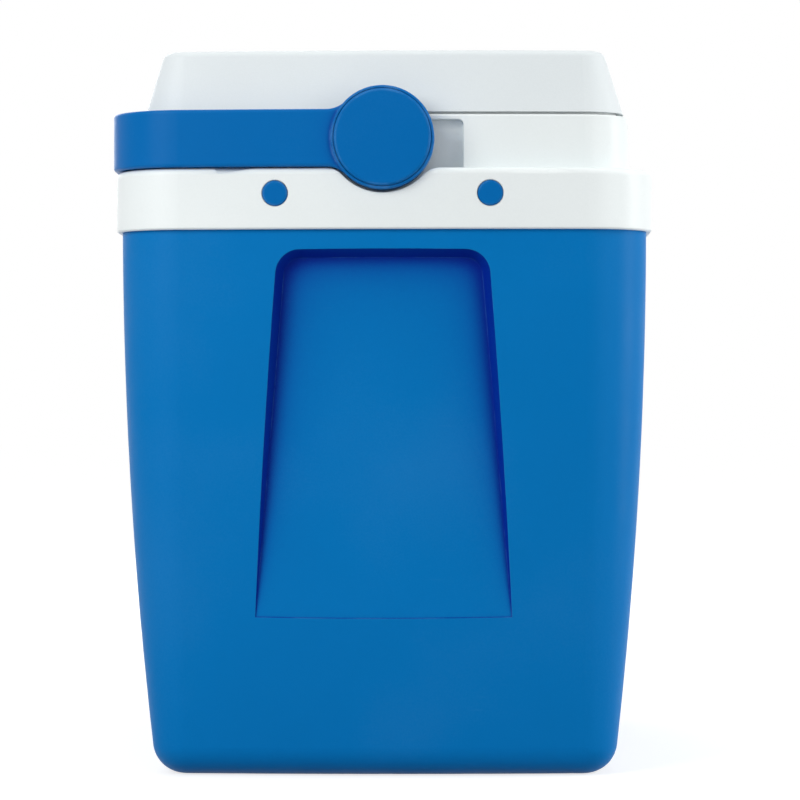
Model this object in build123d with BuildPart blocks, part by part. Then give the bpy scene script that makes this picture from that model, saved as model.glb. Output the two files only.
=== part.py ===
from build123d import *
import os
from math import atan, degrees, hypot, radians, sqrt, tan

# Insulated vaccine carrier, in millimetres. +Z is up, the origin is the centre of the base on the
# ground, X runs across the carrier and Y along it. The front end faces -Y. Every end feature is
# repeated on the rear end, and the carrying handle lies folded towards -X.

# Plan of the carrier: a rectangle with bowed sides and round corners
collar_width = 301.0
collar_length = 400.0
collar_corner = 40.0
side_bow = 3.0
end_bow = 7.0
least_corner = 12.0

# Heights: the collar's foot from the ground, then each part from the one below it
collar_bottom = 300.0
band_height = 33.4
neck_height = 29.9
seam_gap = 1.6
lid_height = 35.1

# Outer shell, the blue tub
shell_wall = 2.5
shell_inset = 3.1
shell_overlap = 6.0
base_lean = 18.3
base_edge_radius = 18.0
base_rim_width = 34.0
base_rise = 3.0
base_bevel = 13.5
tub_sections = 4

# Trapezoid recess in each end of the shell
recess_top_width = 116.0
recess_foot_width = 151.0
recess_top_gap = 10.5
recess_foot = 83.5
recess_depth = 9.6
recess_corner = 14.0
recess_draft = 24.0

# Collar, the white frame that joins the shell to the liner
collar_wall = 3.0
neck_inset = 13.3
rim_thickness = 2.5
ledge_edge_radius = 3.5
lip_bevel = 0.8

# Handle: a ribbed channel bent round one side, with a round hub at each end
arm_height = 31.2
arm_seat_gap = 0.5
arm_gap = 5.0
handle_overhang = 1.7
handle_skin = 4.0
flare_radius = 15.0
arm_edge_radius = 1.6
hub_radius = 28.2
hub_stand_out = 2.4
hub_wall = 3.0
hub_floor = 3.0
hub_cavity = 6.0
hub_edge_bevel = 0.8
hub_ribs = 6
rib_thickness = 2.0
rib_pitch = 36.0

# Pockets of the collar that the hubs turn in
scoop_gap = 1.6
pocket_half_width = 44.0
pocket_top_gap = 2.7
pocket_depth = 6.0
pocket_corner = 3.0
hub_gap = 0.6

# Pivot pins, and the round caps that hide them
pin_radius = 6.0
pin_length = 25.0
pin_play = 0.2
pin_head_radius = 10.5
pin_head = 2.6
pin_slot_width = 2.0
pin_slot_depth = 1.2
running_clearance = 0.06
sleeve_wall = 4.0
sleeve_end = 2.0
cap_radius = 26.4
cap_thickness = 2.6
cap_seat = 1.2
cap_seat_width = 3.0
cap_bevel = 0.9
cap_skirt = 2.0
cap_skirt_wall = 1.8

# Plugs in the foam filling holes of the collar
plug_offset = 58.5
plug_rise = 19.5
plug_radius = 6.9
plug_head = 2.0
plug_seat_depth = 1.6
plug_bevel = 0.5
plug_stem_radius = 5.0
plug_stem_length = 9.0
plug_lead = 1.5

# Inner liner
liner_wall = 2.0
side_insulation = 25.5
end_insulation = 32.0
liner_top_corner = 34.0
liner_draft = 2.0
liner_foot = 24.0
liner_edge_radius = 10.0
flange_thickness = 2.0
flange_gap = 1.0

# Lid: a shell, a tray below it, foam between them and a seal
lid_inset = 15.7
lid_lean = 11.0
lid_wall = 2.8
lid_edge_radius = 5.0
lid_panel_margin = 18.0
lid_panel_depth = 1.2
tray_wall = 2.0
tray_gap = 3.0
tray_drop = 22.0
tray_edge_radius = 6.0
seal_height = 3.0
seal_width = 5.0
seal_margin = 1.0

# Clearances between pieces that are put together once and stay
foam_gap = 0.3
fit_gap = 0.3

# Coolant packs round the walls
pack_width = 120.0
pack_thickness = 34.0
pack_height = 190.0
pack_wall_gap = 2.2
pack_side_gap = 1.0
pack_panel_depth = 2.0
pack_panel_margin = 14.0
pack_panel_corner = 8.0
pack_notch_width = 34.0
pack_notch_height = 22.0
pack_neck_radius = 9.0
pack_neck_gap = 2.0
pack_cap_radius = 13.0
pack_cap_flat_count = 12
pack_cap_top = 2.0
cap_roof = 2.0

# Foam pad on the liner's floor, with slits that vials are pushed into
pad_thickness = 30.0
pad_gap = 1.0
pad_corner = 10.0
slit_width = 1.5
slit_length = 26.0
slit_depth = 20.0
slit_pitch_x = 38.0
slit_pitch_y = 42.0
slit_margin = 6.0

half_width = collar_width / 2
reach = collar_length / 2
ledge_height = collar_bottom + band_height
neck_top = ledge_height + neck_height
lid_bottom = neck_top + seam_gap
lid_top = lid_bottom + lid_height
recess_top = collar_bottom - recess_top_gap
plug_height = collar_bottom + plug_rise
pocket_top = neck_top - pocket_top_gap
shell_height = collar_bottom + shell_overlap
pivot_height = ledge_height + arm_seat_gap + arm_height / 2
seal_top = neck_top + flange_thickness + seal_height
tray_top = seal_top + tray_wall
liner_floor = liner_foot + liner_wall
liner_top_width = collar_width - 2 * side_insulation
liner_top_length = collar_length - 2 * end_insulation

# Distances from the centre plane, outwards along an end of the carrier
neck_face = reach - neck_inset
pocket_floor = neck_face - pocket_depth
arm_back = neck_face + arm_gap
boss_face = arm_back - hub_gap
hub_face = reach + handle_overhang + hub_stand_out
cap_floor = hub_face - cap_seat
hub_floor_face = cap_floor - hub_cavity
pin_seat = hub_floor_face + pin_play
pin_tip = pin_seat - pin_length
sleeve_radius = pin_radius + sleeve_wall
sleeve_tip = pin_tip - fit_gap - sleeve_end


def bow_radius(half_chord, bow):
    """Radius of an arc that stands out by bow over a chord of twice half_chord."""
    return (half_chord**2 + bow**2) / (2 * bow)


def plan(inset):
    """Outline of the collar seen from above, moved inwards by inset: bowed sides and round corners."""
    side_radius = bow_radius(reach - end_bow, side_bow) - inset
    end_radius = bow_radius(half_width - side_bow, end_bow) - inset
    side_centre = half_width - inset - side_radius
    end_centre = reach - inset - end_radius
    # The corner is where the side's circle and the end's circle cross
    between = hypot(side_centre, end_centre)
    along = (side_radius**2 - end_radius**2 + between**2) / (2 * between)
    across = sqrt(side_radius**2 - along**2)
    corner_x = side_centre - (along * side_centre + across * end_centre) / between
    corner_y = (along * end_centre - across * side_centre) / between
    with BuildSketch() as outline:
        with BuildLine():
            for way in (1, -1):
                ThreePointArc(
                    (way * corner_x, way * corner_y),
                    (0, way * (reach - inset)),
                    (-way * corner_x, way * corner_y),
                )
                ThreePointArc(
                    (way * corner_x, -way * corner_y),
                    (way * (half_width - inset), 0),
                    (way * corner_x, way * corner_y),
                )
        make_face()
        fillet(outline.vertices(), max(collar_corner - inset, least_corner))
    return outline.sketch


def end_face_at(x):
    """Distance from the centre plane to the collar's bowed end face at x."""
    radius = bow_radius(half_width - side_bow, end_bow)
    return reach - radius + sqrt(radius**2 - x**2)


def shell_lean(z):
    """How far the shell lies inside the collar's outline at height z: upright at the top, arching in."""
    return shell_inset + base_lean * (1 - z / shell_height) ** 2


def shell_draft(low, high):
    """Draft of the shell's wall between two heights, in degrees."""
    return degrees(atan((shell_lean(low) - shell_lean(high)) / (high - low)))


def end_recess(growth):
    """Both trapezoid recesses, grown by growth, from outside the shell to their upright floors."""
    with BuildPart() as recess:
        with BuildSketch(Plane.XZ.offset(reach - shell_inset)) as trapezoid:
            with BuildLine():
                Polyline(
                    (-recess_foot_width / 2, recess_foot),
                    (-recess_top_width / 2, recess_top),
                    (recess_top_width / 2, recess_top),
                    (recess_foot_width / 2, recess_foot),
                    close=True,
                )
            make_face()
            fillet(trapezoid.vertices().group_by(Axis.Y)[-1], recess_corner)
            if growth:
                offset(amount=growth)
        extrude(amount=-(end_bow + base_lean), taper=recess_draft)
        mirror(about=Plane.XZ)
        with BuildSketch():
            add(plan(shell_inset + recess_depth + growth))
        extrude(amount=shell_height, mode=Mode.SUBTRACT)
    return recess.part


def tub_levels(inset):
    """Heights of the sections that the tub is drawn through, from its foot to its open top."""
    step = (shell_height - inset) / (tub_sections - 1)
    return [inset + step * n for n in range(tub_sections)]


def finish_tub(form, inset):
    """The tub's form with its raised underside and both end recesses cut."""
    recess = end_recess(inset)
    with BuildPart() as tub:
        add(form)
        with BuildSketch():
            add(plan(shell_lean(0) + base_rim_width - inset))
        extrude(amount=base_rise + inset, mode=Mode.SUBTRACT)
        add(recess, mode=Mode.SUBTRACT)
    return tub.part


def outer_tub():
    """The solid inside the outer shell's surface: arched smoothly, with a round foot."""
    with BuildPart() as form:
        for z in tub_levels(0):
            with BuildSketch(Plane.XY.offset(z)):
                add(plan(shell_lean(z)))
        loft()
        fillet(form.edges().group_by(Axis.Z)[0], base_edge_radius)
    return finish_tub(form.part, 0)


def inner_tub(inset):
    """The tub inside a wall of thickness inset: straight drafts between the levels, and a bevelled foot."""
    levels = tub_levels(inset)
    with BuildPart() as form:
        for low, high in zip(levels, levels[1:]):
            with BuildSketch(Plane.XY.offset(high)):
                add(plan(shell_lean(high) + inset))
            extrude(amount=low - high, taper=shell_draft(low, high))
        # A bevel that is set in stays parallel if it is shorter by 2 - sqrt(2) of the distance
        chamfer(form.edges().group_by(Axis.Z)[0], base_bevel - (2 - sqrt(2)) * inset)
    return finish_tub(form.part, inset)


def scoop(growth):
    """Both hub pockets of the collar, grown by growth: the hub's outline below the ledge, a niche above."""
    with BuildPart() as pocket:
        with BuildSketch(Plane.XZ.offset(pocket_floor - growth)) as outline:
            with Locations((0, pivot_height)):
                Circle(hub_radius + scoop_gap)
            with Locations((0, ledge_height)):
                Rectangle(
                    4 * hub_radius, 4 * hub_radius, align=(Align.CENTER, Align.MIN), mode=Mode.SUBTRACT
                )
                Rectangle(
                    2 * pocket_half_width, pocket_top - ledge_height, align=(Align.CENTER, Align.MIN)
                )
            corners = outline.vertices().group_by(Axis.Y)
            fillet(corners[-1], pocket_corner)
            flares = outline.vertices().filter_by_position(Axis.Y, ledge_height - 0.01, ledge_height + 0.01)
            fillet(flares.sort_by(Axis.X)[1:3], flare_radius - scoop_gap)
            if growth:
                offset(amount=growth)
        extrude(amount=reach)
        mirror(about=Plane.XZ)
    return pocket.part


def liner_form(growth):
    """The solid inside the liner's outer surface, grown by growth, up to the collar's top."""
    with BuildPart() as form:
        with BuildSketch(Plane.XY.offset(neck_top)):
            RectangleRounded(
                liner_top_width + 2 * growth, liner_top_length + 2 * growth, liner_top_corner + growth
            )
        extrude(amount=liner_foot - growth - neck_top, taper=liner_draft)
        fillet(form.edges().group_by(Axis.Z)[0], liner_edge_radius + growth)
    return form.part


def lid_edge(z):
    """How far the lid's sloping side lies inside the collar's outline at height z."""
    return lid_inset + lid_lean * (z - lid_bottom) / (lid_top - lid_bottom)


def lid_form(inset, bottom, top):
    """The solid inside the lid's surface, moved inwards by inset, between two heights."""
    with BuildPart() as form:
        with BuildSketch(Plane.XY.offset(bottom)):
            add(plan(lid_edge(bottom) + inset))
        extrude(amount=top - bottom, taper=degrees(atan(lid_lean / (lid_top - lid_bottom))))
        fillet(form.edges().group_by(Axis.Z)[-1], lid_edge_radius - inset)
    return form.part


def handle_side(inset):
    """Side view of the handle in X and Z, moved inwards by inset: an arm that flares into a round hub."""
    with BuildSketch() as side:
        with Locations((0, pivot_height)):
            Circle(hub_radius)
            Rectangle(half_width + 2 * handle_overhang, arm_height, align=(Align.MAX, Align.CENTER))
        inner_corners = side.vertices().filter_by_position(Axis.X, -hub_radius, -1)
        fillet(inner_corners, flare_radius)
        if inset:
            offset(amount=-inset)
    return side.sketch


def handle_band(outer_inset, side_inset):
    """The handle's bent strip, between a plan outline and the strip's back, cut to its side view."""
    with BuildPart() as band:
        with BuildSketch(Plane.XY.offset(pivot_height - hub_radius)):
            add(plan(outer_inset))
            add(plan(neck_inset - arm_gap), mode=Mode.SUBTRACT)
        extrude(amount=2 * hub_radius)
        with BuildSketch(Plane.XZ):
            add(handle_side(side_inset))
        extrude(amount=hub_face, both=True, mode=Mode.INTERSECT)
    return band.part


def end_plane(end, x, z):
    """A plane through the line x, z along the carrier, whose Y points out of the end (-1 front, 1 rear)."""
    return Plane(origin=(x, 0, z), x_dir=(1, 0, 0), z_dir=(0, 0, end))


def write(piece, name):
    """Label a finished piece and write it to its own file."""
    piece.part.label = name
    export_step(piece.part, f"parts/{name}.step")


os.makedirs("parts", exist_ok=True)
ends = {"front": -1, "rear": 1}


# Outer shell: an open tub with a raised underside, standing on its rim
with BuildPart() as outer_shell:
    add(outer_tub())
    add(inner_tub(shell_wall), mode=Mode.SUBTRACT)
write(outer_shell, "outer_shell")


# Collar: a band that overlaps the shell, a ledge for the handle, a neck and a rim round the liner
with BuildPart() as collar_hollow:
    with BuildSketch(Plane.XY.offset(collar_bottom)):
        add(plan(collar_wall))
    extrude(amount=ledge_height - collar_wall - collar_bottom)
    with BuildSketch(Plane.XY.offset(ledge_height - collar_wall)):
        add(plan(neck_inset + collar_wall))
    extrude(amount=neck_top - rim_thickness - ledge_height + collar_wall)
    add(scoop(collar_wall), mode=Mode.SUBTRACT)
    for end in ends.values():
        with BuildSketch(Plane.XZ.offset(-end * sleeve_tip)):
            with Locations((0, pivot_height)):
                Circle(sleeve_radius)
        extrude(amount=-end * (pocket_floor - sleeve_tip), mode=Mode.SUBTRACT)

with BuildPart() as collar:
    with BuildSketch(Plane.XY.offset(collar_bottom)):
        add(plan(0))
    extrude(amount=ledge_height - collar_bottom)
    fillet(collar.edges().group_by(Axis.Z)[-1], ledge_edge_radius)
    chamfer(collar.edges().group_by(Axis.Z)[0], lip_bevel)
    with BuildSketch(Plane.XY.offset(ledge_height)):
        add(plan(neck_inset))
    extrude(amount=neck_top - ledge_height)
    chamfer(collar.edges().group_by(Axis.Z)[-1], lip_bevel)
    add(scoop(0), mode=Mode.SUBTRACT)
    add(collar_hollow.part, mode=Mode.SUBTRACT)
    with BuildSketch(Plane.XY.offset(neck_top)):
        RectangleRounded(
            liner_top_width + 2 * fit_gap, liner_top_length + 2 * fit_gap, liner_top_corner + fit_gap
        )
    extrude(amount=-rim_thickness, mode=Mode.SUBTRACT)
    for end in ends.values():
        with BuildSketch(Plane.XZ.offset(-end * pocket_floor)):
            with Locations((0, pivot_height)):
                Circle(sleeve_radius)
        extrude(amount=-end * (boss_face - pocket_floor))
        with BuildSketch(Plane.XZ.offset(-end * (pin_tip - fit_gap))):
            with Locations((0, pivot_height)):
                Circle(pin_radius + running_clearance)
        extrude(amount=-end * reach, mode=Mode.SUBTRACT)
        with BuildSketch(Plane.XZ.offset(-end * (end_face_at(plug_offset) - plug_seat_depth))):
            with Locations((-plug_offset, plug_height), (plug_offset, plug_height)):
                Circle(plug_radius + fit_gap)
        extrude(amount=-end * reach, mode=Mode.SUBTRACT)
        with BuildSketch(Plane.XZ.offset(-end * neck_face)):
            with Locations((-plug_offset, plug_height), (plug_offset, plug_height)):
                Circle(plug_stem_radius + fit_gap)
        extrude(amount=-end * reach, mode=Mode.SUBTRACT)
write(collar, "collar")


# Plugs: a bevelled head in the collar's seat, and a stem with a tapered tip through the wall
def foam_plug(end, x):
    """One filling plug, turned about its own axis."""
    seat = end_face_at(plug_offset) - plug_seat_depth
    with BuildPart() as plug:
        with BuildSketch(end_plane(end, x, plug_height)) as profile:
            with Locations((0, seat)):
                Rectangle(plug_radius, plug_head, align=Align.MIN)
            chamfer(profile.vertices().group_by(Axis.Y)[-1].sort_by(Axis.X)[-1:], plug_bevel)
            with Locations((0, seat - plug_stem_length)):
                Rectangle(plug_stem_radius, plug_stem_length, align=Align.MIN)
            chamfer(profile.vertices().group_by(Axis.Y)[0].sort_by(Axis.X)[-1:], plug_lead)
        revolve(axis=Axis((x, 0, plug_height), (0, 1, 0)))
    return plug


for end_name, end in ends.items():
    for side_name, side in {"left": -1, "right": 1}.items():
        write(foam_plug(end, side * plug_offset), f"plug_{end_name}_{side_name}")


# Inner liner: a drafted bucket whose flange lies on the collar's rim
with BuildPart() as inner_liner:
    add(liner_form(0))
    with BuildSketch(Plane.XY.offset(neck_top)):
        add(plan(lid_inset + lid_wall + flange_gap))
    extrude(amount=flange_thickness)
    add(liner_form(-liner_wall), mode=Mode.SUBTRACT)
    with BuildSketch(Plane.XY.offset(neck_top)):
        RectangleRounded(
            liner_top_width - 2 * liner_wall,
            liner_top_length - 2 * liner_wall,
            liner_top_corner - liner_wall,
        )
    extrude(amount=flange_thickness, mode=Mode.SUBTRACT)
write(inner_liner, "inner_liner")


# Foam between the shell, the collar and the liner
with BuildPart() as body_insulation:
    add(inner_tub(shell_wall + foam_gap))
    with BuildSketch(Plane.XY.offset(shell_height)):
        add(plan(shell_inset + shell_wall + foam_gap))
    extrude(amount=foam_gap)
    with BuildSketch(Plane.XY.offset(shell_height + foam_gap)):
        add(plan(collar_wall + foam_gap))
    extrude(amount=ledge_height - collar_wall - shell_height - 2 * foam_gap)
    with BuildSketch(Plane.XY.offset(ledge_height - collar_wall - foam_gap)):
        add(plan(neck_inset + collar_wall + foam_gap))
    extrude(amount=neck_top - rim_thickness - ledge_height + collar_wall)
    add(scoop(collar_wall + foam_gap), mode=Mode.SUBTRACT)
    for end in ends.values():
        with BuildSketch(Plane.XZ.offset(-end * (sleeve_tip - foam_gap))):
            with Locations((0, pivot_height)):
                Circle(sleeve_radius + foam_gap)
        extrude(amount=-end * reach, mode=Mode.SUBTRACT)
        plug_tip = end_face_at(plug_offset) - plug_seat_depth - plug_stem_length
        with BuildSketch(Plane.XZ.offset(-end * (plug_tip - foam_gap))):
            with Locations((-plug_offset, plug_height), (plug_offset, plug_height)):
                Circle(plug_stem_radius + foam_gap)
        extrude(amount=-end * reach, mode=Mode.SUBTRACT)
    add(liner_form(foam_gap), mode=Mode.SUBTRACT)
write(body_insulation, "body_insulation")


# Handle: the channel is open towards the carrier, with ribs across it, and each hub is a ribbed cup
arm_rib_count = int((half_width - collar_corner - hub_radius) / rib_pitch)
arm_rib_places = [(-hub_radius - rib_pitch * (n + 1), 0, pivot_height) for n in range(arm_rib_count)]
grip_rib_count = 2 * int((reach - collar_corner) / rib_pitch) + 1
grip_middle = (grip_rib_count - 1) / 2
grip_rib_places = [
    (-half_width, rib_pitch * (n - grip_middle), pivot_height) for n in range(grip_rib_count)
]

with BuildPart() as handle_hollow:
    add(handle_band(handle_skin - handle_overhang, handle_skin))
    with BuildSketch(Plane.XZ):
        with Locations((0, pivot_height)):
            Circle(hub_radius)
    extrude(amount=hub_face, both=True, mode=Mode.SUBTRACT)
    with Locations(*arm_rib_places):
        Box(rib_thickness, 2 * hub_face, arm_height, mode=Mode.SUBTRACT)
    with Locations(*grip_rib_places):
        Box(collar_corner, rib_thickness, arm_height, mode=Mode.SUBTRACT)

with BuildPart() as handle:
    add(handle_band(-handle_overhang, 0))
    outer_part = plan(handle_skin / 2 - handle_overhang).face()
    outer_edges = handle.edges().filter_by(
        lambda edge: not outer_part.is_inside(((edge @ 0.5).X, (edge @ 0.5).Y, 0))
    )
    fillet(outer_edges, arm_edge_radius)
    add(handle_hollow.part, mode=Mode.SUBTRACT)
    for end in ends.values():
        with BuildSketch(Plane.XZ.offset(-end * arm_back)):
            with Locations((0, pivot_height)):
                Circle(hub_radius)
        extrude(amount=-end * (hub_face - arm_back))
        chamfer(handle.edges().group_by(Axis.Y)[0 if end < 0 else -1], hub_edge_bevel)
        with BuildSketch(Plane.XZ.offset(-end * arm_back)):
            with Locations((0, pivot_height)):
                Circle(hub_radius - hub_wall)
                Circle(sleeve_radius, mode=Mode.SUBTRACT)
                with PolarLocations((hub_radius + sleeve_radius) / 2, hub_ribs):
                    Rectangle(hub_radius, rib_thickness, mode=Mode.SUBTRACT)
        extrude(amount=-end * (hub_floor_face - hub_floor - arm_back), mode=Mode.SUBTRACT)
        with BuildSketch(Plane.XZ.offset(-end * hub_floor_face)):
            with Locations((0, pivot_height)):
                Circle(cap_radius - cap_seat_width)
        extrude(amount=-end * reach, mode=Mode.SUBTRACT)
        with BuildSketch(Plane.XZ.offset(-end * cap_floor)):
            with Locations((0, pivot_height)):
                Circle(cap_radius + fit_gap)
        extrude(amount=-end * reach, mode=Mode.SUBTRACT)
        with BuildSketch(Plane.XZ.offset(-end * pocket_floor)):
            with Locations((0, pivot_height)):
                Circle(pin_radius + running_clearance)
        extrude(amount=-end * reach, mode=Mode.SUBTRACT)
write(handle, "handle")


def pivot_pin(end):
    """One pivot pin: a slotted head in the hub and a shank through it into the collar's sleeve."""
    with BuildPart() as pin:
        with BuildSketch(end_plane(end, 0, pivot_height)):
            with Locations((0, pin_tip)):
                Rectangle(pin_radius, pin_length, align=Align.MIN)
            with Locations((0, pin_seat)):
                Rectangle(pin_head_radius, pin_head, align=Align.MIN)
        revolve(axis=Axis((0, 0, pivot_height), (0, 1, 0)))
        with Locations((0, end * (pin_seat + pin_head), pivot_height)):
            Box(2 * pin_head_radius, 2 * pin_slot_depth, pin_slot_width, mode=Mode.SUBTRACT)
    return pin


def pivot_cap(end):
    """One hub cap: a disc with a bevelled edge and a skirt that plugs into the hub."""
    skirt_radius = cap_radius - cap_seat_width - fit_gap
    with BuildPart() as cap:
        with BuildSketch(end_plane(end, 0, pivot_height)) as profile:
            with Locations((0, cap_floor)):
                Rectangle(cap_radius, cap_thickness, align=Align.MIN)
            chamfer(profile.vertices().group_by(Axis.Y)[-1].sort_by(Axis.X)[-1:], cap_bevel)
            with Locations((skirt_radius, cap_floor)):
                Rectangle(cap_skirt_wall, cap_skirt, align=Align.MAX)
        revolve(axis=Axis((0, 0, pivot_height), (0, 1, 0)))
    return cap


for end_name, end in ends.items():
    write(pivot_pin(end), f"pivot_pin_{end_name}")
    write(pivot_cap(end), f"pivot_cap_{end_name}")


# Lid: a shell with a shallow panel in its top, and a tray below it that fits into the liner's mouth
with BuildPart() as lid_shell:
    add(lid_form(0, lid_bottom, lid_top))
    with BuildSketch(Plane.XY.offset(lid_top)):
        add(plan(lid_edge(lid_top) + lid_panel_margin))
    extrude(amount=-lid_panel_depth, mode=Mode.SUBTRACT)
    add(lid_form(lid_wall, lid_bottom, lid_top - lid_wall), mode=Mode.SUBTRACT)
write(lid_shell, "lid_shell")

tray_width = liner_top_width - 2 * (liner_wall + tray_gap)
tray_length = liner_top_length - 2 * (liner_wall + tray_gap)
tray_corner = liner_top_corner - liner_wall - tray_gap
tray_bottom = seal_top - tray_drop

with BuildPart() as lid_tray:
    with BuildSketch(Plane.XY.offset(tray_bottom)):
        RectangleRounded(tray_width, tray_length, tray_corner)
    extrude(amount=tray_drop)
    fillet(lid_tray.edges().group_by(Axis.Z)[0], tray_edge_radius)
    with BuildSketch(Plane.XY.offset(seal_top)):
        add(plan(lid_edge(tray_top) + lid_wall + fit_gap))
    extrude(amount=tray_wall)
    with BuildSketch(Plane.XY.offset(tray_top)):
        RectangleRounded(tray_width - 2 * tray_wall, tray_length - 2 * tray_wall, tray_corner - tray_wall)
    extrude(amount=-tray_drop, mode=Mode.SUBTRACT)
write(lid_tray, "lid_tray")

with BuildPart() as lid_insulation:
    add(lid_form(lid_wall + foam_gap, tray_top, lid_top - lid_wall - foam_gap))
    foam_inset = tray_wall + foam_gap
    with BuildSketch(Plane.XY.offset(tray_top)):
        RectangleRounded(tray_width - 2 * foam_inset, tray_length - 2 * foam_inset, tray_corner - foam_inset)
    extrude(amount=tray_bottom + foam_inset - tray_top)
write(lid_insulation, "lid_insulation")

mouth_width = liner_top_width - 2 * liner_wall
mouth_length = liner_top_length - 2 * liner_wall
mouth_corner = liner_top_corner - liner_wall

with BuildPart() as lid_seal:
    with BuildSketch(Plane.XY.offset(neck_top + flange_thickness)):
        for grow, mode in ((seal_margin + seal_width, Mode.ADD), (seal_margin, Mode.SUBTRACT)):
            RectangleRounded(mouth_width + 2 * grow, mouth_length + 2 * grow, mouth_corner + grow, mode=mode)
    extrude(amount=seal_height)
write(lid_seal, "lid_seal")


# Coolant pack: a bottle with sunk panels on both faces and its filler neck in a notched corner
neck_place = (pack_width / 2 - pack_notch_width / 2, 0)
notch_floor = pack_height - pack_notch_height
panel_height = notch_floor - 2 * pack_panel_margin
cap_height = pack_notch_height - pack_neck_gap - pack_cap_top
# The bevel starts where the round edge of the liner's floor ends
pack_bevel = liner_edge_radius - liner_wall - pack_wall_gap

with BuildPart() as pack_form:
    Box(pack_width, pack_thickness, pack_height, align=(Align.CENTER, Align.CENTER, Align.MIN))
    chamfer(pack_form.edges().filter_by(Axis.Z), pack_bevel)
    chamfer(pack_form.edges().group_by(Axis.Z)[0] + pack_form.edges().group_by(Axis.Z)[-1], pack_bevel)
    with Locations((pack_width / 2, 0, pack_height)):
        Box(
            pack_notch_width,
            pack_thickness,
            pack_notch_height,
            align=(Align.MAX, Align.CENTER, Align.MAX),
            mode=Mode.SUBTRACT,
        )
    with BuildSketch(Plane.XY.offset(notch_floor)):
        with Locations(neck_place):
            Circle(pack_neck_radius)
    extrude(amount=pack_neck_gap + cap_height - cap_roof - fit_gap)
    for face in (-1, 1):
        with BuildSketch(Plane.XZ.offset(-face * pack_thickness / 2)) as panel:
            with Locations((0, notch_floor / 2)):
                Rectangle(pack_width - 2 * pack_panel_margin, panel_height)
            chamfer(panel.vertices(), pack_panel_corner)
        extrude(amount=face * pack_panel_depth, mode=Mode.SUBTRACT)

with BuildPart() as pack_cap_form:
    with BuildSketch(Plane.XY.offset(notch_floor + pack_neck_gap)):
        with Locations(neck_place):
            RegularPolygon(pack_cap_radius, pack_cap_flat_count)
    extrude(amount=cap_height)
    with BuildSketch(Plane.XY.offset(notch_floor + pack_neck_gap)):
        with Locations(neck_place):
            Circle(pack_neck_radius + fit_gap)
    extrude(amount=cap_height - cap_roof, mode=Mode.SUBTRACT)

liner_narrowing = (neck_top - liner_foot) * tan(radians(liner_draft))
wall_x = liner_top_width / 2 - liner_narrowing - liner_wall
wall_y = liner_top_length / 2 - liner_narrowing - liner_wall
side_pack_x = wall_x - pack_wall_gap - pack_thickness / 2
side_pack_y = (pack_width + pack_side_gap) / 2
end_pack_y = wall_y - pack_wall_gap - pack_thickness / 2
pack_places = {
    "left_front": Location((-side_pack_x, -side_pack_y, liner_floor), (0, 0, -90)),
    "left_rear": Location((-side_pack_x, side_pack_y, liner_floor), (0, 0, -90)),
    "right_front": Location((side_pack_x, -side_pack_y, liner_floor), (0, 0, 90)),
    "right_rear": Location((side_pack_x, side_pack_y, liner_floor), (0, 0, 90)),
    "front": Location((0, -end_pack_y, liner_floor)),
    "rear": Location((0, end_pack_y, liner_floor), (0, 0, 180)),
}
for place_name, place in pack_places.items():
    with BuildPart() as coolant_pack:
        add(pack_form.part.moved(place))
    write(coolant_pack, f"coolant_pack_{place_name}")
    with BuildPart() as pack_cap:
        add(pack_cap_form.part.moved(place))
    write(pack_cap, f"pack_cap_{place_name}")


# Vial pad between the packs, with as many crossed slits as it has room for
pad_width = 2 * (side_pack_x - pack_thickness / 2 - pad_gap)
pad_length = 2 * (end_pack_y - pack_thickness / 2 - pad_gap)
slit_columns = int((pad_width - slit_length - 2 * slit_margin) / slit_pitch_x) + 1
slit_rows = int((pad_length - slit_length - 2 * slit_margin) / slit_pitch_y) + 1

with BuildPart() as vial_pad:
    with BuildSketch(Plane.XY.offset(liner_floor)):
        RectangleRounded(pad_width, pad_length, pad_corner)
    extrude(amount=pad_thickness)
    with BuildSketch(Plane.XY.offset(liner_floor + pad_thickness)):
        with GridLocations(slit_pitch_x, slit_pitch_y, slit_columns, slit_rows):
            Rectangle(slit_length, slit_width)
            Rectangle(slit_width, slit_length)
    extrude(amount=-slit_depth, mode=Mode.SUBTRACT)
write(vial_pad, "vial_pad")
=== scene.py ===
"""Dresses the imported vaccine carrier: finishes, the soft seal and vial pad, and a plain studio."""

import math

import bpy
import numpy as np
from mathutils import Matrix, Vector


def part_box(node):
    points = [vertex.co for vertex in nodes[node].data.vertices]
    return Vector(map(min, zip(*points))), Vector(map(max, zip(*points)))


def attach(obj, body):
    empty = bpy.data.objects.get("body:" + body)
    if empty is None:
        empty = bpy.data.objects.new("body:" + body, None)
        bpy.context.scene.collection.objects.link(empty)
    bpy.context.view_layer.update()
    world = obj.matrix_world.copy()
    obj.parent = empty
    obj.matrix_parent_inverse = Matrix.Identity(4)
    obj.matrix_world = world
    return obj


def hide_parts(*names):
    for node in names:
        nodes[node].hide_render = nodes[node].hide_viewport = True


bl_info = {
    "name": "Vaccine Carrier Dressing",
    "version": (1, 0, 0),
    "blender": (4, 5, 0),
    "location": "3D View > Sidebar > Carrier",
    "description": "Finishes, soft pieces and studio for an insulated vaccine carrier",
    "category": "Object",
}

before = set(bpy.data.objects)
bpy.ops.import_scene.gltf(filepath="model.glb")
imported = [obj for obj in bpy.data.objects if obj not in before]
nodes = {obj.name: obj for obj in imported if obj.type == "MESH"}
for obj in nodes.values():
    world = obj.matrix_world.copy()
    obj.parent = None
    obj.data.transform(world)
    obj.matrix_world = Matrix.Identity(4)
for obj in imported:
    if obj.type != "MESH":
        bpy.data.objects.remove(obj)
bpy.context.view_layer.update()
pack_low, pack_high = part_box("coolant_pack_front")


# ---------------------------------------------------------------- sizes and colours that a user would change


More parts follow.
